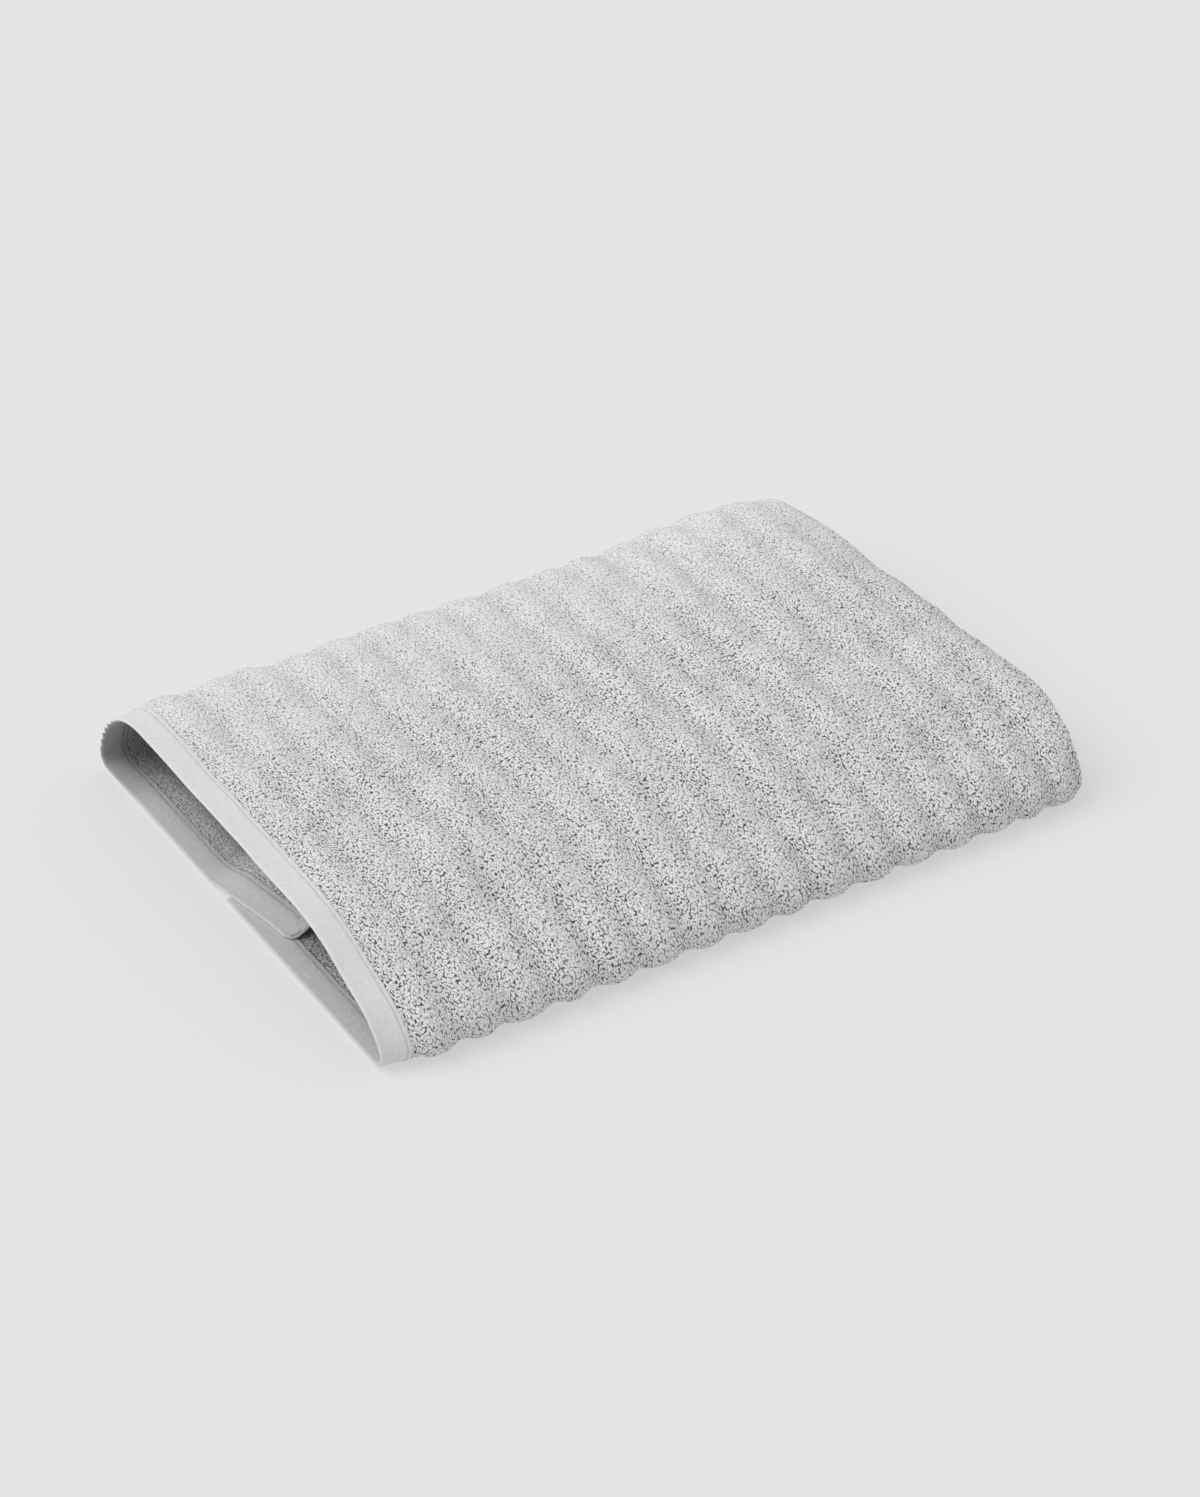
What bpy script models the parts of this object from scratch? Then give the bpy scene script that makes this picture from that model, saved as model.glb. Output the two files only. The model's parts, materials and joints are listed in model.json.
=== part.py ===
"""Ribbed terry bath towel, folded in three crosswise and then with both long sides turned under.

The folded stack lies on Z = 0.  +X runs along it, from the open mouth with the end hem to the
closed crosswise fold.  The front long fold is at -Y and the back long fold at +Y.

Every piece is a part of one cloth surface, P(s, t).  s is the distance along the cloth from the
visible end hem and t the distance across it from the front flap's edge.  t places the point on
the outer face's cross-section in YZ.  s gives its X and how deep the ply lies under that face.
"""
import math

import bmesh
import bpy
from mathutils import Vector

# --- Driving dimensions, in metres and degrees -------------------------------------------------

CLOTH_LENGTH = 1.470
CLOTH_WIDTH = 0.873

PLY = 0.0040
PLY_GAP = 0.0004
HEM_THICKNESS = 0.0024
END_HEM = 0.018
SIDE_HEM = 0.011
THREAD = 0.0005
THREAD_INSET = 0.0025

ROLL_SETBACK = 0.038
TUCK_BACK = 0.011
FRONT_FLAP = 0.200
BACK_LAP = 0.0603
FOLD_CORE = 0.0012
BROW_SLOPE = 40.0
BROW_RUN = 0.003
BROW_RADIUS = 0.080
SHOULDER_SLOPE = 20.0
SHOULDER_RUN = 0.036
SHOULDER_RADIUS = 0.150
CROWN_SLOPE = 1.2
BACK_DROP = 75.0
LAP_SLOPE = 24.0
LAP_RADIUS = 0.020
LAP_CLEARANCE = 0.0004
LAP_LEAD = 0.003

CUT_GAP = 0.0003
SECTION_STEP = 7.5
TURN_STEP = 30.0

# --- Values that follow from them --------------------------------------------------------------

PLY_PITCH = PLY + PLY_GAP
STACK = 3.0 * PLY + 2.0 * PLY_GAP
FOLD_RADIUS = STACK + FOLD_CORE
TURN_RADIUS = PLY_PITCH / 2.0
TURN_REACH = TURN_RADIUS + PLY / 2.0
LAP_RISE = STACK + LAP_CLEARANCE


class Path:
    """A plane curve made of straight runs and clockwise or anticlockwise arcs, by its length."""

    def __init__(self, start, heading, arc_step):
        self.point = Vector(start)
        self.heading = heading
        self.arc_step = arc_step
        self.length = 0.0
        self.parts = []

    def add(self, length, turn, step):
        """Append a run or an arc, turning by 'turn' degrees, positive for clockwise."""
        self.parts.append((self.length, length, self.point.copy(), self.heading, turn, step))
        self.point, self.heading = self.along(self.parts[-1], length)
        self.length += length

    def straight(self, length):
        """Append a straight run."""
        self.add(length, 0.0, 1)

    def arc(self, radius, turn):
        """Append an arc of a given radius, in steps of about arc_step degrees."""
        step = max(2, round(abs(turn) / self.arc_step))
        self.add(radius * math.radians(abs(turn)), turn, step)

    @staticmethod
    def along(part, distance):
        """Point and heading at a distance from a part's own start."""
        _, length, point, heading, turn, _ = part
        if turn == 0.0:
            way = math.radians(heading)
            return point + distance * Vector((math.cos(way), math.sin(way))), heading
        end = heading - turn * distance / length
        radius = length / math.radians(turn)
        first, last = math.radians(heading), math.radians(end)
        move = Vector((math.sin(first) - math.sin(last), math.cos(last) - math.cos(first)))
        return point + radius * move, end

    def at(self, distance):
        """Point and heading at a distance along the whole path."""
        for part in self.parts:
            if distance <= part[0] + part[1] + 1e-9:
                return self.along(part, distance - part[0])
        return self.along(self.parts[-1], distance - self.parts[-1][0])

    def stations(self, first, last):
        """Distances where a strip between two distances needs an edge."""
        marks = {first, last}
        for start, length, _, _, _, step in self.parts:
            for i in range(step + 1):
                mark = start + length * i / step
                if first + 1e-4 < mark < last - 1e-4:
                    marks.add(mark)
        return sorted(marks)


def cross_section(crown_length):
    """The outer face in YZ, from the front flap's edge round to the back flap's edge.

    The front fold is an arc about the hinge line.  A short run, the brow's arc, a slope and one
    more arc lead up to the crown, the crown rises a little to the back, and arcs bring it down to the
    floor again.  The back flap runs along the floor and laps up onto the front flap.
    """
    slope = math.radians(SHOULDER_SLOPE)
    crown = math.radians(CROWN_SLOPE)
    drop = math.radians(BACK_DROP)
    path = Path((FRONT_FLAP, 0.0), 180.0, SECTION_STEP)
    path.straight(FRONT_FLAP - FOLD_RADIUS)
    marks = {"fold_start": path.length}
    path.arc(FOLD_RADIUS, 90.0)
    path.arc(FOLD_RADIUS, 90.0 - BROW_SLOPE)
    marks["fold_end"] = path.length
    path.straight(BROW_RUN)
    path.arc(BROW_RADIUS, BROW_SLOPE - SHOULDER_SLOPE)
    path.straight(SHOULDER_RUN / math.cos(slope))
    path.arc(SHOULDER_RADIUS, SHOULDER_SLOPE - CROWN_SLOPE)
    path.straight(crown_length)
    marks["back_start"] = path.length

    foot = FOLD_RADIUS * (1.0 + math.cos(drop))
    back_radius = (path.point.y - foot) / (math.cos(crown) - math.cos(drop))
    path.arc(back_radius, CROWN_SLOPE + BACK_DROP)
    path.arc(FOLD_RADIUS, 90.0 - BACK_DROP)
    marks["width"] = path.point.x
    path.arc(FOLD_RADIUS, 90.0)
    marks["back_end"] = path.length

    lap = math.radians(LAP_SLOPE)
    ramp = (LAP_RISE - 2.0 * LAP_RADIUS * (1.0 - math.cos(lap))) / math.sin(lap)
    lap_run = 2.0 * LAP_RADIUS * math.sin(lap) + ramp * math.cos(lap)
    path.straight(path.point.x - FRONT_FLAP - LAP_LEAD - lap_run)
    path.arc(LAP_RADIUS, LAP_SLOPE)
    path.straight(ramp)
    path.arc(LAP_RADIUS, -LAP_SLOPE)
    path.straight(BACK_LAP)
    return path, marks


def crown_for_cloth():
    """The crown length that uses up CLOTH_WIDTH, whose use grows evenly with that length."""
    least = cross_section(0.0)[0].length
    growth = cross_section(1.0)[0].length - least
    return (CLOTH_WIDTH - least) / growth


def ply_path():
    """X and depth of the cloth's middle: out to the closed end, back to the roll, out again."""
    first_turn = FOLDED_LENGTH - TURN_REACH
    second_turn = ROLL_SETBACK + TURN_REACH
    path = Path((0.0, PLY / 2.0), 0.0, TURN_STEP)
    path.straight(first_turn)
    path.arc(TURN_RADIUS, -180.0)
    path.straight(first_turn - second_turn)
    path.arc(TURN_RADIUS, 180.0)
    path.straight(CLOTH_LENGTH - path.length)
    return path


def folded_length():
    """The length at which the tucked hem ends TUCK_BACK short of the closed end."""
    turns = 2.0 * math.pi * TURN_RADIUS - 4.0 * TURN_REACH
    return (CLOTH_LENGTH + 2.0 * ROLL_SETBACK + TUCK_BACK - turns) / 3.0


SECTION, MARKS = cross_section(crown_for_cloth())
FOLDED_WIDTH = MARKS["width"]
FOLDED_LENGTH = folded_length()
PLIES = ply_path()


def cloth_point(s, t, lift=0.0):
    """A point of the cloth, 'lift' metres nearer to the outer face than its middle."""
    along, _ = PLIES.at(s)
    across, heading = SECTION.at(t)
    depth = along.y - lift
    way = math.radians(heading)
    y = across.x + depth * math.sin(way) - FOLDED_WIDTH / 2.0
    z = across.y - depth * math.cos(way)
    return Vector((along.x - FOLDED_LENGTH / 2.0, y, z))


# --- Materials and the collection --------------------------------------------------------------


def material(name, colour, roughness):
    """A plain cloth material."""
    made = bpy.data.materials.new(name)
    made.use_nodes = True
    shader = made.node_tree.nodes["Principled BSDF"]
    shader.inputs["Base Color"].default_value = (*colour, 1.0)
    shader.inputs["Roughness"].default_value = roughness
    shader.inputs["Metallic"].default_value = 0.0
    made.diffuse_color = (*colour, 1.0)
    return made


def start_scene():
    """Empty the scene and make the object's collection."""
    for thing in list(bpy.data.objects):
        bpy.data.objects.remove(thing, do_unlink=True)
    made = bpy.data.collections.new("folded_bath_towel")
    bpy.context.scene.collection.children.link(made)
    return made


TOWEL = start_scene()
TERRY = material("terry", (0.60, 0.60, 0.605), 0.95)
FLAT_WEAVE = material("flat_weave", (0.63, 0.63, 0.635), 0.85)
SEWING_THREAD = material("sewing_thread", (0.66, 0.66, 0.66), 0.7)


# --- Builders ----------------------------------------------------------------------------------


def cloth_piece(name, along, across, thickness, finish):
    """A stretch of the cloth: a grid bent to P(s, t), thickened evenly about its middle."""
    rows = PLIES.stations(*along)
    columns = SECTION.stations(*across)
    mesh = bpy.data.meshes.new(name)
    sheet = bmesh.new()
    made = bmesh.ops.create_grid(
        sheet, x_segments=len(rows) - 1, y_segments=len(columns) - 1, size=0.5
    )
    for corner in made["verts"]:
        row = round((corner.co.x + 0.5) * (len(rows) - 1))
        column = round((corner.co.y + 0.5) * (len(columns) - 1))
        corner.co = cloth_point(rows[row], columns[column])
    sheet.to_mesh(mesh)
    sheet.free()
    piece = bpy.data.objects.new(name, mesh)
    TOWEL.objects.link(piece)
    mesh.materials.append(finish)
    mesh.shade_smooth()
    mesh.set_sharp_from_angle(angle=math.radians(50.0))
    wall = piece.modifiers.new("wall", "SOLIDIFY")
    wall.thickness = thickness
    wall.offset = 0.0
    wall.use_even_offset = True
    return piece


def seam_thread(name, s, across):
    """A sewn line across the cloth, lying on the end hem's outer face."""
    lift = HEM_THICKNESS / 2.0 + CUT_GAP + THREAD / 2.0
    points = [cloth_point(s, t, lift) for t in SECTION.stations(*across)]
    curve = bpy.data.curves.new(name, "CURVE")
    curve.dimensions = "3D"
    curve.bevel_depth = THREAD / 2.0
    curve.bevel_resolution = 1
    curve.use_fill_caps = True
    line = curve.splines.new("POLY")
    line.points.add(len(points) - 1)
    for target, point in zip(line.points, points):
        target.co = (*point, 1.0)
    piece = bpy.data.objects.new(name, curve)
    TOWEL.objects.link(piece)
    curve.materials.append(SEWING_THREAD)
    return piece


def shrink(first, last):
    """The stretch between two cuts, less half the gap at each end."""
    return first + CUT_GAP / 2.0, last - CUT_GAP / 2.0


REGIONS = {
    "front_flap": (SIDE_HEM, MARKS["fold_start"]),
    "front_fold": (MARKS["fold_start"], MARKS["fold_end"]),
    "top_panel": (MARKS["fold_end"], MARKS["back_start"]),
    "back_fold": (MARKS["back_start"], MARKS["back_end"]),
    "back_flap": (MARKS["back_end"], CLOTH_WIDTH - SIDE_HEM),
}
SIDE_HEMS = {
    "front_side_hem": (0.0, SIDE_HEM - CUT_GAP / 2.0),
    "back_side_hem": (CLOTH_WIDTH - SIDE_HEM + CUT_GAP / 2.0, CLOTH_WIDTH),
}


def build():
    """Make every piece of the towel."""
    terry = shrink(END_HEM, CLOTH_LENGTH - END_HEM)
    mouth_hem = (0.0, terry[0] - CUT_GAP)
    tucked_hem = (terry[1] + CUT_GAP, CLOTH_LENGTH)
    for region, span in REGIONS.items():
        across = shrink(*span)
        cloth_piece(region + "_terry", terry, across, PLY, TERRY)
        cloth_piece(region + "_end_hem", mouth_hem, across, HEM_THICKNESS, FLAT_WEAVE)
        cloth_piece(region + "_tucked_hem", tucked_hem, across, HEM_THICKNESS, FLAT_WEAVE)
        seam_thread(region + "_thread", END_HEM - THREAD_INSET, across)
    for name, across in SIDE_HEMS.items():
        cloth_piece(name, (0.0, CLOTH_LENGTH), across, HEM_THICKNESS, FLAT_WEAVE)


build()
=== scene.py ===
import json
import math

import bpy
import numpy as np
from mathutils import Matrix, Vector

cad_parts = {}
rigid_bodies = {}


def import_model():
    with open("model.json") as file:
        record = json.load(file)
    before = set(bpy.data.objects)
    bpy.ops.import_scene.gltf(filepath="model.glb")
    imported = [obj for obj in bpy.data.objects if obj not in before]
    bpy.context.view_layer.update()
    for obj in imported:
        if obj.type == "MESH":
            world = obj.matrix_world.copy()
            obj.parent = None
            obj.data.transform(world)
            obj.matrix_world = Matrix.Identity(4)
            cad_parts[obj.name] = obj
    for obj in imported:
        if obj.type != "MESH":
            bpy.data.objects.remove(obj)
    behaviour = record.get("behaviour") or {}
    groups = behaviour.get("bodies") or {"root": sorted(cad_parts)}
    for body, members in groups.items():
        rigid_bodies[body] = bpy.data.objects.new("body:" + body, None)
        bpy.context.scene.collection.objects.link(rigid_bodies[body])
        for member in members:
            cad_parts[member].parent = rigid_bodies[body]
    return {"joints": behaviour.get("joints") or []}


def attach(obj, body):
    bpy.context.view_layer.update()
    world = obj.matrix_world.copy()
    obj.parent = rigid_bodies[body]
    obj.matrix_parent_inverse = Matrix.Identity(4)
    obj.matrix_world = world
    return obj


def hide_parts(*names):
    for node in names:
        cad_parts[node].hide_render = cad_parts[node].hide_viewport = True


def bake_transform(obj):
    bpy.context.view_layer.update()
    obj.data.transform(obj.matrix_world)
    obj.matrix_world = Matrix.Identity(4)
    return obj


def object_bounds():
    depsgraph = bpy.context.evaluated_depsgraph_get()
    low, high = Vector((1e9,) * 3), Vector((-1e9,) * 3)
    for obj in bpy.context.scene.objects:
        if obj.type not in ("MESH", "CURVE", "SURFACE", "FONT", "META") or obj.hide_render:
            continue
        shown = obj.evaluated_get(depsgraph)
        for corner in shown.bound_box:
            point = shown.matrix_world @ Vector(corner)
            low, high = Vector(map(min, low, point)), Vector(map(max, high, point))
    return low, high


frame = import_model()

CAD_BOX = [list(corner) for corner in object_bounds()]

# --- The cloth and how it is folded, in metres and degrees ------------------------------------

HINGE = next(j for j in frame["joints"] if j["name"] == "front_fold_hinge")
UNDER, COVER = HINGE["parent"], HINGE["child"]
LENGTH = CAD_BOX[1][0] - CAD_BOX[0][0]
WIDTH = CAD_BOX[1][1] - CAD_BOX[0][1]
FOLD_RADIUS = HINGE["pos_m"][2]

CLOTH = (0.873, 1.470)
PLY = 0.0040
PLY_PITCH = 0.0044
TURN_RADIUS = PLY_PITCH / 2
END_HEM = 0.018
SIDE_HEM = 0.011
HEM = 0.0024
SETBACK = 0.038
FRONT_FLAP = 0.200
RIBS = 46
RIB_PITCH = (CLOTH[1] - 2 * END_HEM) / RIBS

THREAD = 0.0005
THREAD_INSET = 0.0025
STITCH = 0.0030
STITCH_ARCH = 0.00030
STITCH_SINK = 0.00034
MOUTH_DEPTH = 0.036
CROWN_SLOPE = 1.2
END_CROWN = -1.5
BACK_DROP = 75.0
LAP_RADIUS = 0.020
LAP_LEAD = 0.003
BROW_SLOPE = 40.0


# --- Camera first -----------------------------------------------------------------------------

EYE = Vector((-0.9125, -1.4306, 1.1781))
YAW, PITCH = math.radians(32.6), math.radians(34.2)
LENS = 77.4


def place_camera():
    """A long lens above and to the left of the mouth."""
    made = bpy.data.cameras.new("eye")
    made.lens = LENS
    made.sensor_width = 36.0
    made.clip_end = 50.0
    eye = bpy.data.objects.new("eye", made)
    eye.location = EYE
    eye.rotation_euler = (math.pi / 2 - PITCH, 0.0, -YAW)
    bpy.context.scene.collection.objects.link(eye)
    bpy.context.scene.camera = eye


# --- The cloth as a surface of two distances --------------------------------------------------


def smooth(x, first, last):
    """Three times the square less twice the cube of the share of the way from first to last."""
    share = np.clip((x - first) / (last - first), 0.0, 1.0)
    return share * share * (3.0 - 2.0 * share)


class Way:
    """A plane line given by (length, clockwise turn) pairs.

    The heading is steady along a straight run and turns evenly along an arc, and the sums of its
    cosine and sine along the length are the line's two coordinates.
    """

    SAMPLES = 8000

    def __init__(self, parts, start, heading):
        lengths = np.array([length for length, _ in parts])
        turns = np.array([turn for _, turn in parts])
        ends = np.concatenate([[0.0], np.cumsum(lengths)])
        headings = heading - np.concatenate([[0.0], np.cumsum(turns)])
        self.length = np.linspace(0.0, ends[-1], self.SAMPLES)
        self.angle = np.radians(np.interp(self.length, ends, headings))
        step = self.length[1]
        middle = (self.angle[1:] + self.angle[:-1]) / 2
        self.u = start[0] + np.concatenate([[0.0], np.cumsum(np.cos(middle) * step)])
        self.v = start[1] + np.concatenate([[0.0], np.cumsum(np.sin(middle) * step)])

    def at(self, distance):
        """The two coordinates and the heading at distances along the line."""
        return [np.interp(distance, self.length, line) for line in (self.u, self.v, self.angle)]


def arc(radius, turn):
    """An arc as a (length, clockwise turn) pair."""
    return (radius * math.radians(abs(turn)), turn)


def cross_section(front, tail, lap, lap_slope, rising):
    """The outer face in YZ, from the front flap's edge round both long folds to the back flap's.

    'front' leads from the floor to the crown.  Then come the crown, the back drop, the tail and
    the floor again, and the lap up onto the front flap.  The crown's length brings the width out
    right, and the drop's radius the height.  'rising' is the crown's slope and
    'lap_slope' the lap's.
    """
    risen = Way(front, (FRONT_FLAP, 0.0), 180.0)
    y, z = risen.u[-1], risen.v[-1]
    crown, drop, rise = (math.radians(a) for a in (rising, BACK_DROP, lap_slope))
    foot = tail * (1 + math.cos(drop))
    fall = math.cos(crown) - math.cos(drop)
    reach = (math.sin(crown) + math.sin(drop)) / fall
    room = WIDTH - y - tail * (1 - math.sin(drop)) - (z - foot) * reach
    top = room / (math.cos(crown) + math.sin(crown) * reach)
    back = (z + top * math.sin(crown) - foot) / fall
    ramp = (lap - 2 * LAP_RADIUS * (1 - math.cos(rise))) / math.sin(rise)
    lap_run = 2 * LAP_RADIUS * math.sin(rise) + ramp * math.cos(rise)
    rear = [
        (top, 0.0),
        arc(back, rising + BACK_DROP),
        arc(tail, 180.0 - BACK_DROP),
        (WIDTH - tail - FRONT_FLAP - LAP_LEAD - lap_run, 0.0),
        arc(LAP_RADIUS, lap_slope),
        (ramp, 0.0),
        arc(LAP_RADIUS, -lap_slope),
    ]
    used = sum(length for length, _ in front + rear)
    return Way(front + rear + [(CLOTH[0] - used, 0.0)], (FRONT_FLAP, 0.0), 180.0)


def ply_line():
    """X and depth of the cloth's middle: to the closed end, back to the roll, and out again."""
    out = LENGTH - PLY / 2 - TURN_RADIUS
    back = out - (SETBACK + PLY / 2 + TURN_RADIUS)
    parts = [(out, 0.0), arc(TURN_RADIUS, -180.0), (back, 0.0), arc(TURN_RADIUS, 180.0)]
    used = sum(length for length, _ in parts)
    return Way(parts + [(CLOTH[1] - used, 0.0)], (0.0, PLY / 2), 0.0)


# Each front is the flap's flat run, the tight fold, the steep brow and the shoulder to the crown.
INSIDE_FRONT = [
    (FRONT_FLAP - FOLD_RADIUS, 0.0),
    arc(FOLD_RADIUS, 180.0 - BROW_SLOPE),
    (0.003, 0.0),
    arc(0.080, 20.0),
    (0.0383, 0.0),
    arc(0.150, 20.0 - CROWN_SLOPE),
]
MOUTH_FRONT = [
    (FRONT_FLAP - 0.011, 0.0),
    arc(0.011, 122.0),
    arc(0.050, 36.0),
    (0.0324, 0.0),
    arc(0.150, 22.0 - CROWN_SLOPE),
]
END_FRONT = [
    (FRONT_FLAP - 0.014, 0.0),
    arc(0.014, 118.0),
    (0.008, 0.0),
    arc(0.045, 54.0),
    arc(0.150, 8.0 - END_CROWN),
]
MOUTH_LAP, MOUTH_LAP_SLOPE = 0.0026, 8.0
LAP, LAP_SLOPE = 3 * PLY_PITCH, 24.0
SECTIONS = (
    cross_section(MOUTH_FRONT, 0.010, MOUTH_LAP, MOUTH_LAP_SLOPE, CROWN_SLOPE),
    cross_section(INSIDE_FRONT, 0.014, LAP, LAP_SLOPE, CROWN_SLOPE),
    cross_section(END_FRONT, 0.014, LAP, LAP_SLOPE, END_CROWN),
)
PLIES = ply_line()
OUT_END = LENGTH - PLY / 2 - TURN_RADIUS
FOLD_START = FRONT_FLAP - FOLD_RADIUS
FOLD_END = FOLD_START + FOLD_RADIUS * math.radians(180.0 - BROW_SLOPE)
BACK_START, BACK_END = 0.535, 0.649


# --- Relief -----------------------------------------------------------------------------------

RIB_DEPTH = 0.0008
RIB_SWAY = 0.0012
RIB_WANDER = 0.0012
PILE_RELIEF = 0.00030
LUMP_RELIEF = 0.00011
PILE_ROLL = 0.0020
HEM_ROUND = 0.0016
THINNEST = 0.0003
DRIFT_RISE = 0.0011
CORNER_RISE = 0.0060
RIPPLE, RIPPLE_PITCH = 0.0011, 0.0085
END_ROUND = 0.060
END_DRAW, MOUTH_DRAW = 0.009, 0.007
CORNER_DRAW = 0.010
LAP_INSET = 0.011
TIP, TIP_DRAW = 0.007, 0.0028
SLIT_DEPTH = 0.0010
MAP_SIZE = 1024
MAP_STEP = 0.0005
HIGHEST = 1.7


def noise_map(seed, shortest, longest):
    """A seamless map of random heights that holds only wavelengths from shortest to longest."""
    rng = np.random.default_rng(seed)
    waves = np.fft.fft2(rng.standard_normal((MAP_SIZE, MAP_SIZE)))
    lines = np.fft.fftfreq(MAP_SIZE, MAP_STEP)
    rate = np.hypot(lines[:, None], lines[None, :])
    band = np.exp(-((rate * shortest) ** 4)) * (1 - np.exp(-((rate * longest) ** 4)))
    heights = np.fft.ifft2(waves * band).real
    return np.clip(heights / heights.std(), -HIGHEST, HIGHEST)


LUMPS = noise_map(11, 0.018, 0.060)
PILE = noise_map(12, 0.0026, 0.0065)
DRIFT = noise_map(13, 0.040, 0.160)


def read_map(heights, s, t):
    """The map's height at (s, t), between its four nearest samples, repeating at its edges."""
    row, column = np.asarray(s) / MAP_STEP, np.asarray(t) / MAP_STEP
    r, c = np.floor(row).astype(int), np.floor(column).astype(int)
    a, b = row - r, column - c
    r0, c0, r1, c1 = r % MAP_SIZE, c % MAP_SIZE, (r + 1) % MAP_SIZE, (c + 1) % MAP_SIZE
    near = heights[r0, c0] * (1 - b) + heights[r0, c1] * b
    far = heights[r1, c0] * (1 - b) + heights[r1, c1] * b
    return near * (1 - a) + far * a


def valley(s, t):
    """0 on a rib's crest and 1 in the valley beside it.

    (1 + cos(2 pi phase)) / 2 to a power that keeps crests broad.  The phase is the distance along
    the cloth in rib pitches, and it wanders a little.
    """
    phase = (s + RIB_WANDER * read_map(DRIFT, 1.3 * s, 1.3 * t) - END_HEM) / RIB_PITCH
    return (0.5 + 0.5 * np.cos(2 * math.pi * phase)) ** 1.3


def round_edge(distance, size):
    """A quarter circle's height over its size: 0 at no distance and 1 from 'size' on."""
    share = np.clip(distance / size, 0.0, 1.0)
    return np.sqrt(1 - (1 - share) ** 2)


def into_terry(s, t):
    """Distance from the hems' inner edges, positive in the terry and negative in a hem."""
    ends = np.minimum(s, CLOTH[1] - s) - END_HEM
    return np.minimum(ends, np.minimum(t, CLOTH[0] - t) - SIDE_HEM)


def slit(s, t):
    """Depth of the hem's folded opening at the back flap's corner, exp(-(d / 0.5 mm)^2) across."""
    across = np.exp(-(((CLOTH[0] - t - 0.0018) / 0.0005) ** 2))
    return SLIT_DEPTH * across * smooth(s, 0.0012, 0.0026) * (1 - smooth(s, 0.0100, 0.0115))


def cloth_lift(s, t, face):
    """Height of a face over the cloth's middle, on the side named by +1 or -1.

    The terry's crests stand PLY / 2 - 0.6 mm up, less the ribs, with the pile's own waves, and
    roll down to the hem over PILE_ROLL.  The hem has a round outer edge, a groove
    exp(-(d / 0.6 mm)^2) under its stitches, deeper on the inner face, and small puckers beside
    them.
    """
    depth = into_terry(s, t)
    shift = 0.2 * (face < 0)
    pile = PILE_RELIEF * read_map(PILE, s + shift, t) + LUMP_RELIEF * read_map(LUMPS, s + shift, t)
    tips = PLY / 2 - 0.0006 - RIB_DEPTH * valley(s, t) + pile
    groove = (0.00022 + 0.00026 * (face < 0)) * np.exp(-(((depth + THREAD_INSET) / 0.0006) ** 2))
    groove = groove + slit(s, t) * (face < 0)
    pucker = 0.00010 * read_map(PILE, s, 0.6 * t) * np.exp(-np.abs(depth) / 0.008)
    outside = np.minimum(np.minimum(s, CLOTH[1] - s), np.minimum(t, CLOTH[0] - t))
    tips = np.maximum(tips, THINNEST)
    band = (HEM / 2 - groove + pucker) * np.maximum(round_edge(outside, HEM_ROUND), 0.12)
    return face * np.where(depth > 0, band + (tips - band) * round_edge(depth, PILE_ROLL), band)


def drape(x, t):
    """How far the whole stack stands out from its plain section, at x along it.

    The plies sway with the ribs, in at the valleys on top and out at the crests round the tight
    front fold.  They drift by a millimetre or so on top and rise at the far back corner.  The hem
    ripples round the back fold at the mouth.  All of it fades out towards the floor.
    """
    behind = 1 - smooth(t, BACK_END - 0.050, BACK_END - 0.006)
    sides = smooth(t, FOLD_START + 0.001, FOLD_START + 0.020) * behind
    front = 1 + 1.2 * (1 - smooth(t, FOLD_END - 0.010, FOLD_END + 0.060))
    ribs = smooth(t, FOLD_START - 0.010, FOLD_START + 0.008) * behind
    above = smooth(t, FOLD_END, FOLD_END + 0.060)
    bulge = 0.8 * (1 - above) - valley(x, t)
    sway = RIB_SWAY * front * ribs * bulge * smooth(x, 0.016, 0.032)
    loose = 0.25 + 0.75 * smooth(x, 0.0, 0.07)
    drift = DRIFT_RISE * above * read_map(DRIFT, x, t) * loose
    beside = ((x - 0.45) / 0.07) ** 2 + ((t - BACK_START + 0.01) / 0.09) ** 2
    corner = CORNER_RISE * np.exp(-beside)
    ripple = RIPPLE * np.sin(2 * math.pi * t / RIPPLE_PITCH + 90 * x) * np.exp(-x / 0.012)
    ripple = ripple * smooth(t, BACK_START + 0.030, BACK_START + 0.060)
    return sway + sides * (drift + corner + ripple)


def end_share(x):
    """How much of the closed end's section applies: a quarter ellipse over END_ROUND."""
    share = np.clip((x - LENGTH + END_ROUND) / (END_ROUND + 0.002), 0.0, 1.0)
    return 1 - np.sqrt(1 - share**2)


def settle(x, y, s, t):
    """Draw in the corners: both front ones, and the back flap's at the mouth.

    The front moves back by up to END_DRAW at the closed end and MOUTH_DRAW at the mouth, and the
    closed end's front corner rounds off by CORNER_DRAW.  The back flap's edge lies LAP_INSET
    inside the mouth, and its corner is cut round.
    """
    front = 1 - smooth(y, 0.0, 0.25)
    mouth = (1 - smooth(x, 0.0, 0.045)) ** 2
    inward = LAP_INSET * smooth(t, CLOTH[0] - 0.090, CLOTH[0]) * (1 - smooth(x, 0.0, 0.080))
    corner = CORNER_DRAW * (1 - smooth(y, 0.0, 0.060)) * smooth(x, LENGTH - 0.10, LENGTH) ** 2
    tip = np.clip(1 - s / TIP, 0.0, 1.0) * np.clip(1 - (CLOTH[0] - t) / TIP, 0.0, 1.0)
    x = x + inward - corner + TIP_DRAW * tip
    return x, y + front * (END_DRAW * end_share(x) + MOUTH_DRAW * mouth) + TIP_DRAW * tip


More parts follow.
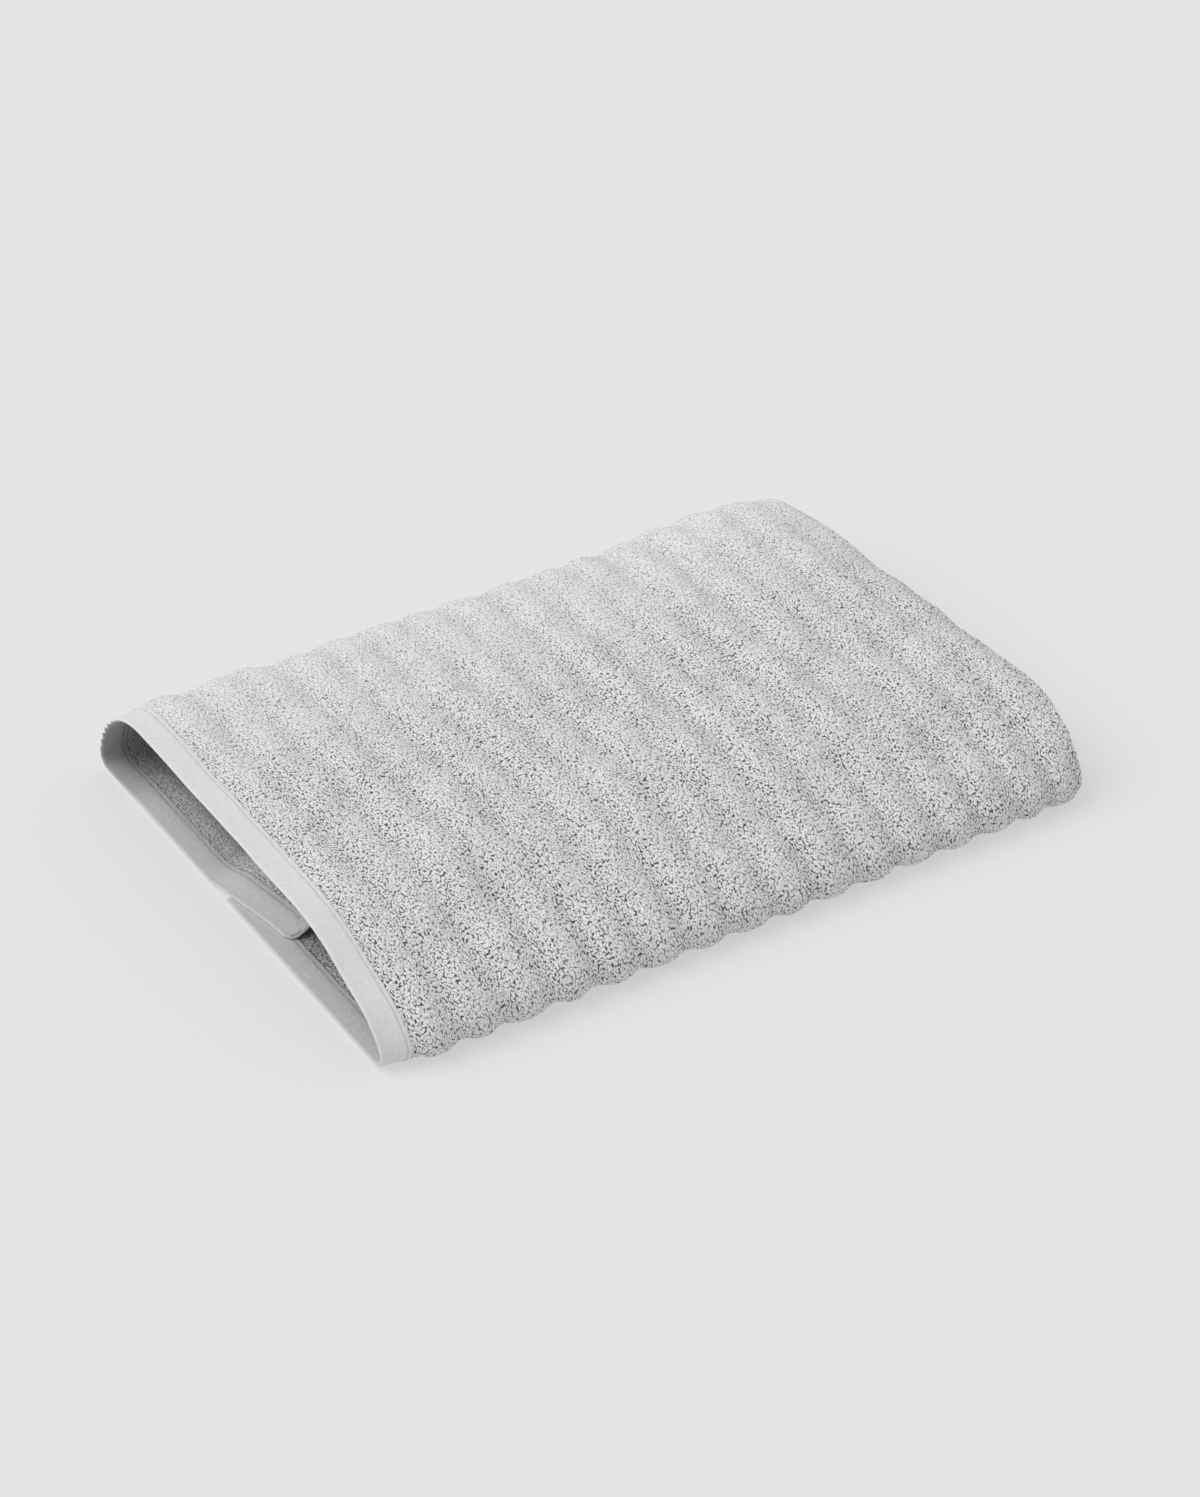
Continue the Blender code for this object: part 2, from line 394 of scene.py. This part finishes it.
def cloth_points(s, t, lift):
    """Where the cloth lies: s along it, t across it, and lift above its middle, in the row frame.

    s gives X, the depth of the ply under the outer face and the ply's own lean at its two turns.
    t gives the outer face's point and inward normal, from the mouth's section at X = 0 to the
    inner one at MOUTH_DEPTH and on to the closed end's.  The point is the outer face's, moved
    inwards by the depth and kept on or over the floor.
    """
    x, depth, lean = PLIES.at(s)
    x = x + lift * np.sin(lean)
    depth = depth - lift * np.cos(lean) - drape(x, t)
    inner = smooth(x, 0.0, MOUTH_DEPTH)
    ended = end_share(x)
    y, z, angle = (
        mouth + (main - mouth) * inner + (last - main) * ended
        for mouth, main, last in zip(*(section.at(t) for section in SECTIONS))
    )
    y, z = y + depth * np.sin(angle), z - depth * np.cos(angle)
    x, y = settle(x, y, s, t)
    z = np.maximum(z, 0.0)
    return np.stack([x - LENGTH / 2, y - WIDTH / 2, z], axis=-1)


def painted_shade(s, t, face):
    """How much painted shade a face takes: 0 outside the bundle, and up to 1 a hand's breadth
    inside.

    It is painted shade for the shadow inside the mouth.  It deepens inwards from the mouth, more
    so in the nook of the back fold and beside the lapped edge, and is darkest in the hem's slit at
    the back flap's corner.  It fades out again between 70 and 150 mm, past what the mouth shows.
    """
    x = PLIES.at(s)[0]
    tucked = s > OUT_END
    nook = smooth(t, BACK_START + 0.02, BACK_START + 0.07)
    nook = nook * (1 - smooth(t, BACK_END, BACK_END + 0.05))
    lapped = (1 - smooth(t, 0.060, 0.110)) * smooth(x, 0.014, 0.030)
    outer = (face < 0) * (0.25 + 0.25 * smooth(x, 0.010, 0.022) + 0.50 * smooth(x, 0.024, 0.036))
    inner = 0.35 + 0.65 * smooth(x, 0.040, 0.080)
    depth = np.where(tucked, inner, outer) + (0.5 * nook + 0.7 * lapped) * (tucked | (face < 0))
    depth = depth * (1 - smooth(x, 0.070, 0.150))
    return np.minimum(1.0, depth + 0.9 * slit(s, t) / SLIT_DEPTH * (face < 0))


# --- Meshes -----------------------------------------------------------------------------------


FINE = np.array([0.0004, 0.0008, 0.0013, 0.0020, 0.0030])
CLOSE_PITCH, WIDE_PITCH = 0.0015, 0.003


def steps(first, last, pitch, lines=()):
    """Values from first to last, about pitch apart and closer on both sides of given lines."""
    parts = [np.linspace(first, last, max(2, round((last - first) / pitch) + 1))]
    for line in lines:
        parts += [line - FINE, [line], line + FINE]
    values = np.unique(np.round(np.concatenate(parts), 6))
    return values[(values >= round(first, 6)) & (values <= round(last, 6))]


def put_mesh(name, points, faces, cloth, normals=None):
    """A mesh object with a cloth attribute that holds each point's (s, t, painted shade amount).
    """
    mesh = bpy.data.meshes.new(name)
    mesh.vertices.add(len(points))
    mesh.vertices.foreach_set("co", points.astype(np.float32).ravel())
    mesh.loops.add(faces.size)
    mesh.loops.foreach_set("vertex_index", faces.astype(np.int32).ravel())
    mesh.polygons.add(len(faces))
    mesh.polygons.foreach_set("loop_start", np.arange(len(faces), dtype=np.int32) * 4)
    mesh.polygons.foreach_set("use_smooth", np.ones(len(faces), bool))
    held = mesh.attributes.new("cloth", "FLOAT_VECTOR", "POINT")
    held.data.foreach_set("vector", cloth.astype(np.float32).ravel())
    mesh.update()
    mesh.validate()
    if normals is not None:
        mesh.normals_split_custom_set_from_vertices(normals)
    piece = bpy.data.objects.new(name, mesh)
    bpy.context.scene.collection.objects.link(piece)
    return piece


def grid_faces(rows, columns, first=0):
    """Quads of a grid of points numbered row by row."""
    index = first + np.arange(rows * columns).reshape(rows, columns)
    corners = [index[:-1, :-1], index[1:, :-1], index[1:, 1:], index[:-1, 1:]]
    return np.stack(corners, axis=-1).reshape(-1, 4)


def widen(values, last):
    """The values with one more step at each end, kept within the cloth from 0 to last."""
    first_step, last_step = values[1] - values[0], values[-1] - values[-2]
    wider = np.concatenate([[values[0] - first_step], values, [values[-1] + last_step]])
    return np.clip(wider, 0.0, last)


def closed_sheet(name, along, across):
    """A stretch of cloth with two faces and a rim.

    Each face is worked out one step beyond the stretch all round.  Its normals are the cross
    products of the differences between each point's neighbours, so that stretches which meet
    shade alike.
    """
    s, t = np.meshgrid(widen(along, CLOTH[1]), widen(across, CLOTH[0]), indexing="ij")
    points, normals, cloth = [], [], []
    for face in (1, -1):
        spot = cloth_points(s, t, cloth_lift(s, t, face))
        # The third value is the painted shade amount that the materials darken by.
        held = np.stack([s, t, painted_shade(s, t, face)], -1)[1:-1, 1:-1]
        cloth.append(held.reshape(-1, 3))
        onward, sideways = spot[2:, 1:-1] - spot[:-2, 1:-1], spot[1:-1, 2:] - spot[1:-1, :-2]
        normal = face * np.cross(onward, sideways)
        size = np.linalg.norm(normal, axis=-1, keepdims=True)
        points.append(spot[1:-1, 1:-1].reshape(-1, 3))
        normals.append((normal / np.maximum(size, 1e-12)).reshape(-1, 3))
    rows, columns = len(along), len(across)
    count = rows * columns
    top = grid_faces(rows, columns)
    under = grid_faces(rows, columns, count)[:, ::-1]
    index = np.arange(count).reshape(rows, columns)
    ring = np.concatenate([index[0, :-1], index[:-1, -1], index[-1, :0:-1], index[:0:-1, 0]])
    after = np.roll(ring, -1)
    rim = np.stack([ring, after, after + count, ring + count], -1)
    faces = np.concatenate([top, under, rim])
    return put_mesh(name, *(np.concatenate(part) for part in (points, [faces], cloth, normals)))


def thread_line(name, first, last):
    """The stitches beside the terry on both faces of the visible end hem, from first to last.

    Each is a closed tube with six sides.  It arches over every stitch as the square root of
    |sin(pi t / STITCH)| and dips into the cloth between them.
    """
    t = steps(first + 0.0002, last - 0.0002, STITCH / 8)
    turn = np.arange(6) * math.pi / 3
    line = END_HEM - THREAD_INSET
    points, cloth, faces = [], [], []
    for face in (1, -1):
        arch = STITCH_ARCH * np.sqrt(np.abs(np.sin(math.pi * t / STITCH))) - STITCH_SINK
        across, way = np.meshgrid(t, turn, indexing="ij")
        centre = face * (HEM / 2 + arch)[:, None]
        s = line + THREAD / 2 * np.cos(way)
        lift = centre + THREAD / 2 * np.sin(way)
        start = sum(len(part) for part in points)
        points.append(cloth_points(s, across, lift).reshape(-1, 3))
        cloth.append(np.stack([s, across, painted_shade(s, across, face)], -1).reshape(-1, 3))
        index = start + np.arange(across.size).reshape(across.shape)
        turned = np.roll(index, -1, axis=1)
        sides = np.stack([index[:-1], index[1:], turned[1:], turned[:-1]], -1)
        faces.append(sides.reshape(-1, 4))
        ends = [index[0][[0, 1, 2, 3]], index[0][[0, 3, 4, 5]]]
        ends += [index[-1][[3, 2, 1, 0]], index[-1][[5, 4, 3, 0]]]
        faces.append(np.array(ends))
    return put_mesh(name, np.concatenate(points), np.concatenate(faces), np.concatenate(cloth))


def show(piece, finish, body, replaced, flat=None):
    """Give a piece its finish and body; the flat size of a stretch of cloth is not used."""
    piece.data.materials.append(finish)
    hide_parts(*replaced)
    if body is None:
        low, high = (0.0, HINGE["pos_m"][1], 0.0), (0.0, HINGE["pos_m"][1], 2 * FOLD_RADIUS)
        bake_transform(piece)
    else:
        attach(piece, body)
    return piece


# --- Materials --------------------------------------------------------------------------------


LOOP_ALONG, LOOP_ACROSS = 0.0011, 0.0016
LOOP_GREY, GAP_SHADE_GREY = 0.93, 0.07
WEAVE_LIGHT, WEAVE_DARK = 0.82, 0.54
TWILL_PITCH, CROSS_PITCH = 0.0015, 0.0011
THREAD_DARK, THREAD_LIGHT = 0.48, 0.66
TWIST_PITCH = 0.0005
# Painted shade: up to this share of near-black is mixed into a finish inside the mouth.
SHADE_GREY, SHADE_SHARE = 0.04, 0.62


class Wire:
    """A value in a material's node tree.  Arithmetic on it adds the nodes that work it out."""

    def __init__(self, tree, source=None):
        self.tree = tree
        self.source = source

    def join(self, value, socket):
        """Link a wire to a socket, or set the socket to a plain value."""
        if isinstance(value, Wire):
            self.tree.links.new(value.source, socket)
        else:
            socket.default_value = value

    def node(self, kind, settings, inputs, out=0):
        """Add any node, with its settings and then its inputs, and return one of its outputs."""
        made = self.tree.nodes.new("ShaderNode" + kind)
        for name, value in settings.items():
            setattr(made, name, value)
        for name, value in inputs.items():
            self.join(value, made.inputs[name])
        return Wire(self.tree, made.outputs[out])

    def math(self, operation, *values):
        """A Math node on plain values and wires."""
        return self.node("Math", {"operation": operation}, dict(enumerate(values)))

    def __add__(self, other):
        return self.math("ADD", self, other)

    def __radd__(self, other):
        return self.math("ADD", other, self)

    def __sub__(self, other):
        return self.math("SUBTRACT", self, other)

    def __rsub__(self, other):
        return self.math("SUBTRACT", other, self)

    def __mul__(self, other):
        return self.math("MULTIPLY", self, other)

    def __rmul__(self, other):
        return self.math("MULTIPLY", other, self)

    def __pow__(self, other):
        return self.math("POWER", self, other)

    def wave(self):
        """Sine of the value, moved to lie between 0 and 1."""
        return self.math("SINE", self) * 0.5 + 0.5

    def rise(self, low, high):
        """A smooth step from 0 at low to 1 at high."""
        limits = {"Value": self, "From Min": low, "From Max": high}
        return self.node("MapRange", {"interpolation_type": "SMOOTHSTEP"}, limits)

    def scaled(self, factor):
        """A vector times a plain number."""
        return self.node("VectorMath", {"operation": "SCALE"}, {0: self, "Scale": factor})

    def times(self, other):
        """A vector times another, part by part."""
        return self.node("VectorMath", {"operation": "MULTIPLY"}, {0: self, 1: other})

    def moved(self, other):
        """The sum of two vectors."""
        return self.node("VectorMath", {"operation": "ADD"}, {0: self, 1: other})

    def mix(self, first, second):
        """A colour between two colours, by this value."""
        return self.node("Mix", {"data_type": "RGBA"}, {0: self, 6: first, 7: second}, 2)

    def noise(self, place, scale, detail, out=0):
        """Even random noise at a place."""
        inputs = {"Vector": place, "Scale": scale, "Detail": detail}
        return self.node("TexNoise", {"noise_dimensions": "2D"}, inputs, out)


def grey(value):
    """A neutral colour."""
    return (value, value, value, 1.0)


def finish(name, roughness, sheen):
    """A new material, its shader and the cloth's own coordinates."""
    made = bpy.data.materials.new(name)
    made.use_nodes = True
    shader = made.node_tree.nodes["Principled BSDF"]
    shader.inputs["Roughness"].default_value = roughness
    shader.inputs["Specular IOR Level"].default_value = 0.15
    shader.inputs["Sheen Weight"].default_value = sheen
    shader.inputs["Sheen Roughness"].default_value = 0.6
    start = Wire(made.node_tree)
    place = start.node("Attribute", {"attribute_name": "cloth"}, {}, "Vector")
    return made, shader, start, place


def relief(start, height, distance, strength):
    """A bump of a given height map."""
    return start.node("Bump", {}, {"Height": height, "Distance": distance, "Strength": strength})


def with_painted_shade(colour, place):
    """A colour with painted shade: mixed towards near-black by the painted shade amount in the
    cloth attribute.
    """
    painted_shade_amount = place.node("SeparateXYZ", {}, {0: place}, 2)
    return (painted_shade_amount * SHADE_SHARE).mix(colour, grey(SHADE_GREY))


def terry_finish():
    """Cotton loops with painted shade in the gaps between them.

    The painted gap shade is strongest in the rib valleys and towards the front, and varies in
    patches.
    """
    made, shader, start, place = finish("terry_pile", 0.95, 0.15)
    loops = place.times((1 / LOOP_ALONG, 1 / LOOP_ACROSS, 0.0))
    curl = start.noise(loops, 0.7, 2.0, "Color").scaled(1.6)
    cells = {"Vector": loops.moved(curl), "Scale": 1.0}
    away = start.node("TexVoronoi", {"voronoi_dimensions": "2D"}, cells, "Distance")
    along = start.node("SeparateXYZ", {}, {0: place}, 0)
    across = start.node("SeparateXYZ", {}, {0: place}, 1)
    clump = start.noise(place, 160.0, 2.0)
    patch = start.noise(place, 30.0, 1.0)
    # Painted shade: the gap shade is deeper in the rib valleys.
    hollow = ((along - END_HEM) * (2 * math.pi / RIB_PITCH) + math.pi / 2).wave()
    # Painted light: the gap shade fades by up to 40% from 0.40 to 0.56 m across the cloth, so the
    # back of the top and the back fold look lighter.
    back_gap_shade_fade = 1.0 - 0.40 * across.rise(0.40, 0.56)
    gap_shade_share = (0.50 + 0.22 * hollow + 0.5 * clump + 0.3 * patch) * back_gap_shade_fade
    # depth is the share of painted gap shade at each point.
    depth = away.rise(0.30, 0.80) * gap_shade_share
    colour = depth.mix(grey(LOOP_GREY), grey(GAP_SHADE_GREY))
    # Painted shade inside the mouth goes on top of the painted gap shade.
    start.join(with_painted_shade(colour, place), shader.inputs["Base Color"])
    fibre = start.noise(loops, 2.2, 2.0)
    height = (1.0 - away) ** 1.5 + 0.4 * fibre
    start.join(relief(start, height, 0.0012, 0.6), shader.inputs["Normal"])
    return made


def weave_finish():
    """Plain flat cloth with fine diagonal ribs."""
    made, shader, start, place = finish("hem_weave", 0.85, 0.10)
    along = start.node("SeparateXYZ", {}, {0: place}, 0)
    across = start.node("SeparateXYZ", {}, {0: place}, 1)
    painted_shade_amount = start.node("SeparateXYZ", {}, {0: place}, 2)
    twill = ((along + across) * (2 * math.pi / TWILL_PITCH)).wave()
    cross = ((along - 1.7 * across) * (2 * math.pi / CROSS_PITCH)).wave()
    soft = start.noise(place, 260.0, 3.0)
    # The twill shows stronger where the painted shade amount is high, and painted shade darkens
    # the weave inside the mouth.
    shade = (0.2 + 0.8 * painted_shade_amount) * (0.5 * twill + 0.3 * cross) + 0.4 * soft
    colour = shade.mix(grey(WEAVE_LIGHT), grey(WEAVE_DARK))
    start.join(with_painted_shade(colour, place), shader.inputs["Base Color"])
    start.join(relief(start, twill + 0.5 * cross, 0.00016, 0.8), shader.inputs["Normal"])
    return made


def thread_finish():
    """Twisted thread."""
    made, shader, start, place = finish("twisted_thread", 0.7, 0.05)
    along = start.node("SeparateXYZ", {}, {0: place}, 0)
    across = start.node("SeparateXYZ", {}, {0: place}, 1)
    twist = ((along * 1.3 + across) * (2 * math.pi / TWIST_PITCH)).wave()
    colour = twist.mix(grey(THREAD_DARK), grey(THREAD_LIGHT))
    # Painted shade inside the mouth darkens the thread.
    start.join(with_painted_shade(colour, place), shader.inputs["Base Color"])
    start.join(relief(start, twist, 0.00006, 0.7), shader.inputs["Normal"])
    return made


TERRY = terry_finish()
WEAVE = weave_finish()
COTTON = thread_finish()


# --- Pieces -----------------------------------------------------------------------------------

# Each group across the cloth: first and last distance from the front flap's edge, body, regions.
GROUPS = {
    "flap": (SIDE_HEM, FOLD_START, UNDER, ("front_flap",)),
    "fold": (FOLD_START, FOLD_END, None, ("front_fold",)),
    "cover": (FOLD_END, CLOTH[0] - SIDE_HEM, COVER, ("top_panel", "back_fold", "back_flap")),
}
# Each band along the cloth: first and last rib, and the pitch of its points.
BANDS = {
    "outer_1": (0, 4, CLOSE_PITCH),
    "outer_2": (4, 8, CLOSE_PITCH),
    "outer_3": (8, 12, CLOSE_PITCH),
    "outer_4": (12, 17, CLOSE_PITCH),
    "middle": (17, 30, WIDE_PITCH),
    "roll": (30, 33, CLOSE_PITCH),
    "inner": (33, RIBS, WIDE_PITCH),
}


def cut_width(group, s0, s1):
    """The cloth's own width in a group: an inner ply takes a shorter way round the front fold."""
    first, last, _, _ = GROUPS[group]
    if group != "fold":
        return last - first
    depth = PLIES.at(np.linspace(s0, s1, 50))[1].mean()
    return max(0.010, (last - first) * (1 - depth / FOLD_RADIUS))


HEM_LINES = (SIDE_HEM, CLOTH[0] - SIDE_HEM)
END_LINES = (END_HEM, CLOTH[1] - END_HEM)


def terry_pieces():
    """The terry, cut where it crosses the front fold and along valleys between ribs."""
    for group, (first, last, body, regions) in GROUPS.items():
        for band, (low, high, pitch) in BANDS.items():
            s0, s1 = END_HEM + low * RIB_PITCH, END_HEM + high * RIB_PITCH
            along = steps(s0, s1, pitch, END_LINES)
            across = steps(first, last, pitch, HEM_LINES)
            piece = closed_sheet(f"terry_{group}_{band}", along, across)
            nodes = [region + "_terry" for region in regions]
            show(piece, TERRY, body, nodes, (cut_width(group, s0, s1), s1 - s0))


def hem_pieces():
    """The mouth's end hem with its stitches, the tucked end hem and the two side hems."""
    stitched = (0.0, END_HEM - THREAD_INSET, END_HEM)
    for group, (first, last, body, regions) in GROUPS.items():
        for end, (s0, s1) in {
            "end_hem": (0.0, END_HEM),
            "tucked_hem": (CLOTH[1] - END_HEM, CLOTH[1]),
        }.items():
            along = steps(s0, s1, CLOSE_PITCH, stitched)
            across = steps(first, last, CLOSE_PITCH, HEM_LINES)
            piece = closed_sheet(f"{end}_{group}", along, across)
            nodes = [f"{region}_{end}" for region in regions]
            show(piece, WEAVE, body, nodes, (cut_width(group, s0, s1), s1 - s0))
        nodes = [f"{region}_thread" for region in regions]
        show(thread_line(f"stitches_{group}", first, last), COTTON, body, nodes)
    for side, first, body in (("front", 0.0, UNDER), ("back", CLOTH[0] - SIDE_HEM, COVER)):
        along = steps(0.0, CLOTH[1], CLOSE_PITCH, (0.0, END_HEM, CLOTH[1]))
        edge = first if side == "front" else CLOTH[0]
        across = steps(first, first + SIDE_HEM, CLOSE_PITCH, (edge,))
        piece = closed_sheet(f"{side}_side_hem_cloth", along, across)
        show(piece, WEAVE, body, [f"{side}_side_hem"], (SIDE_HEM, CLOTH[1]))


# --- Studio -----------------------------------------------------------------------------------


FLOOR_GREY, FLOOR_GLOW = 0.33, 0.456
SKY_STRENGTH = 0.62
KEY_STRENGTH, KEY_SPREAD = 1.5, math.radians(55.0)
KEY_WAY = (0.75, -0.45, -1.0)


def studio():
    """A pale floor, an even sky and one very wide soft light from behind on the left."""
    bpy.ops.mesh.primitive_plane_add(size=40.0, location=(0.0, 0.0, -0.0002))
    floor = bpy.context.object
    floor.name = "floor"
    paint = bpy.data.materials.new("floor_paint")
    paint.use_nodes = True
    coat = paint.node_tree.nodes["Principled BSDF"].inputs
    coat["Base Color"].default_value = grey(FLOOR_GREY)
    coat["Roughness"].default_value = 1.0
    coat["Specular IOR Level"].default_value = 0.0
    coat["Emission Color"].default_value = grey(1.0)
    coat["Emission Strength"].default_value = FLOOR_GLOW
    floor.data.materials.append(paint)
    world = bpy.data.worlds.new("studio_sky")
    bpy.context.scene.world = world
    world.use_nodes = True
    sky = world.node_tree.nodes["Background"]
    sky.inputs["Color"].default_value = grey(1.0)
    sky.inputs["Strength"].default_value = SKY_STRENGTH
    lamp = bpy.data.lights.new("key", "SUN")
    lamp.energy = KEY_STRENGTH
    lamp.angle = KEY_SPREAD
    light = bpy.data.objects.new("key", lamp)
    light.rotation_euler = Vector(KEY_WAY).to_track_quat("-Z", "Y").to_euler()
    bpy.context.scene.collection.objects.link(light)
    bpy.context.scene.view_settings.view_transform = "Standard"


place_camera()
studio()
terry_pieces()
hem_pieces()
